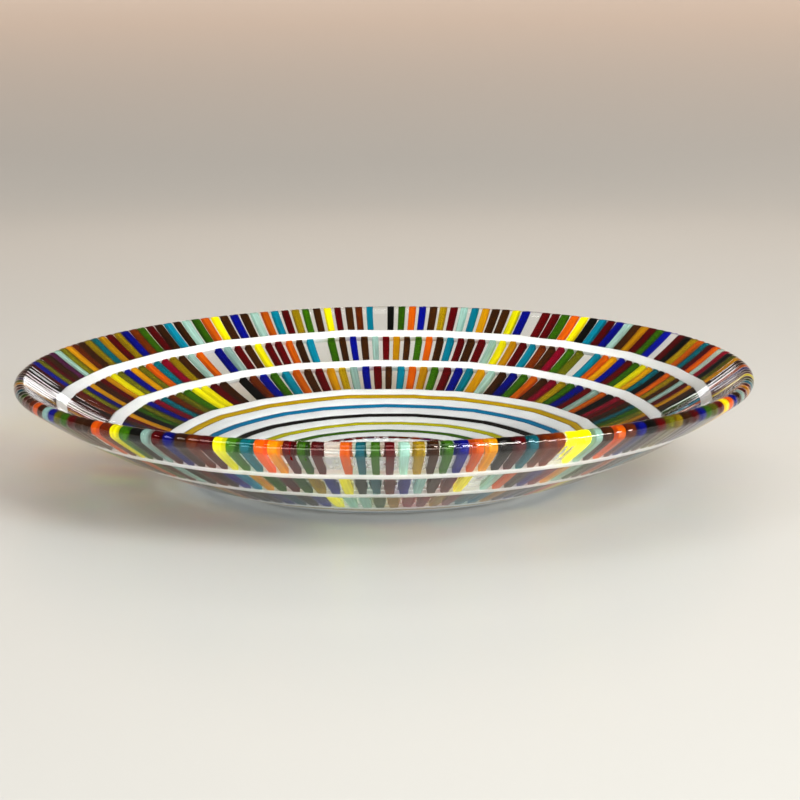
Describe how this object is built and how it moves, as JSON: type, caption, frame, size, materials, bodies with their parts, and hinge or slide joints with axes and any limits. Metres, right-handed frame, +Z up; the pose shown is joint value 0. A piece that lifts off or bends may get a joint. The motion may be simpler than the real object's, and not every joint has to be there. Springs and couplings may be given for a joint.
{
  "type": "art glass bowl",
  "caption": "Shallow round fused-glass bowl: bands of coloured and clear strips parted by opaque white rings, a floor of concentric rings, a rounded rim and a flat base.",
  "frame": {"origin": "the middle of the flat base, on the surface that the bowl stands on", "axes": "+Z up along the bowl's axis of symmetry; +X to the right and -Y towards the viewer of the picture"},
  "size_m": [0.38, 0.38, 0.0585],
  "materials": {
    "strip_glass_warm": "fire-polished gloss, coloured and clear strips",
    "strip_glass_cool": "fire-polished gloss, coloured and clear strips",
    "strip_glass_green": "fire-polished gloss, coloured and clear strips",
    "white_glass": "opaque, fire-polished gloss",
    "amber_glass": "fire-polished gloss",
    "turquoise_glass": "opaque, fire-polished gloss",
    "black_glass": "opaque, fire-polished gloss",
    "olive_glass": "opaque, fire-polished gloss",
    "green_glass": "fire-polished gloss",
    "dark_red_glass": "fire-polished gloss",
    "cobalt_glass": "fire-polished gloss",
    "orange_glass": "opaque, fire-polished gloss"
  },
  "bodies": {
    "root": {"outer_panel_01": "strip_glass_warm", "outer_panel_02": "strip_glass_cool", "outer_panel_03": "strip_glass_green", "outer_panel_04": "strip_glass_warm", "outer_panel_05": "strip_glass_cool", "outer_panel_06": "strip_glass_green", "outer_panel_07": "strip_glass_warm", "outer_panel_08": "strip_glass_cool", "outer_panel_09": "strip_glass_green", "outer_panel_10": "strip_glass_warm", "outer_panel_11": "strip_glass_cool", "outer_panel_12": "strip_glass_green", "middle_panel_01": "strip_glass_warm", "middle_panel_02": "strip_glass_cool", "middle_panel_03": "strip_glass_green", "middle_panel_04": "strip_glass_warm", "middle_panel_05": "strip_glass_cool", "middle_panel_06": "strip_glass_green", "middle_panel_07": "strip_glass_warm", "middle_panel_08": "strip_glass_cool", "middle_panel_09": "strip_glass_green", "middle_panel_10": "strip_glass_warm", "middle_panel_11": "strip_glass_cool", "middle_panel_12": "strip_glass_green", "inner_panel_01": "strip_glass_warm", "inner_panel_02": "strip_glass_cool", "inner_panel_03": "strip_glass_green", "inner_panel_04": "strip_glass_warm", "inner_panel_05": "strip_glass_cool", "inner_panel_06": "strip_glass_green", "inner_panel_07": "strip_glass_warm", "inner_panel_08": "strip_glass_cool", "inner_panel_09": "strip_glass_green", "inner_panel_10": "strip_glass_warm", "outer_white_ring": "white_glass", "middle_white_ring": "white_glass", "inner_white_ring": "white_glass", "floor_ring_amber": "amber_glass", "floor_ring_white_1": "white_glass", "floor_ring_turquoise": "turquoise_glass", "floor_ring_white_2": "white_glass", "floor_ring_black": "black_glass", "floor_ring_white_3": "white_glass", "floor_ring_olive": "olive_glass", "floor_ring_white_4": "white_glass", "floor_ring_green": "green_glass", "floor_ring_white_5": "white_glass", "floor_ring_dark_red": "dark_red_glass", "floor_ring_white_6": "white_glass", "floor_ring_cobalt": "cobalt_glass", "floor_ring_white_7": "white_glass", "floor_ring_orange": "orange_glass", "floor_disc_white": "white_glass"}
  },
  "joints": []
}
